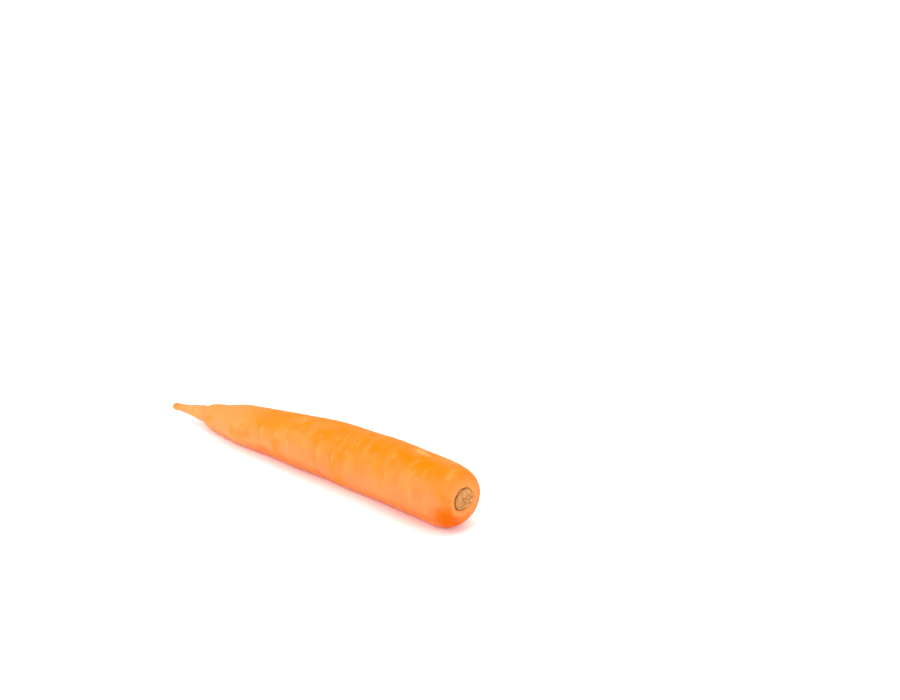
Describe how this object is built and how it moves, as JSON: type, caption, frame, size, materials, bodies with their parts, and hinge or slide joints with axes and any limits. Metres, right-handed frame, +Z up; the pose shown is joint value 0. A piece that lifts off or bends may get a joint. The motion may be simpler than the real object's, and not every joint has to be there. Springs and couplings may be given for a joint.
{
  "type": "carrot",
  "caption": "Whole fresh carrot, long and blunt with a thin tail, lying on its side, with its leaf stalks cut off level at the crown.",
  "frame": {"origin": "on the surface that the carrot lies on, under the middle of its box", "axes": "+X along the carrot towards its crown, the tail to -X, +Z up"},
  "size_m": [0.186, 0.0275, 0.0261],
  "materials": {
    "carrot_skin": "fresh washed skin, orange with pale cross marks, soft gloss",
    "dry_stalk": "dry brown cut stalk ends, fibrous and matt"
  },
  "bodies": {
    "root": {"root": "carrot_skin", "leaf_stalk_stub": "dry_stalk"}
  },
  "joints": []
}
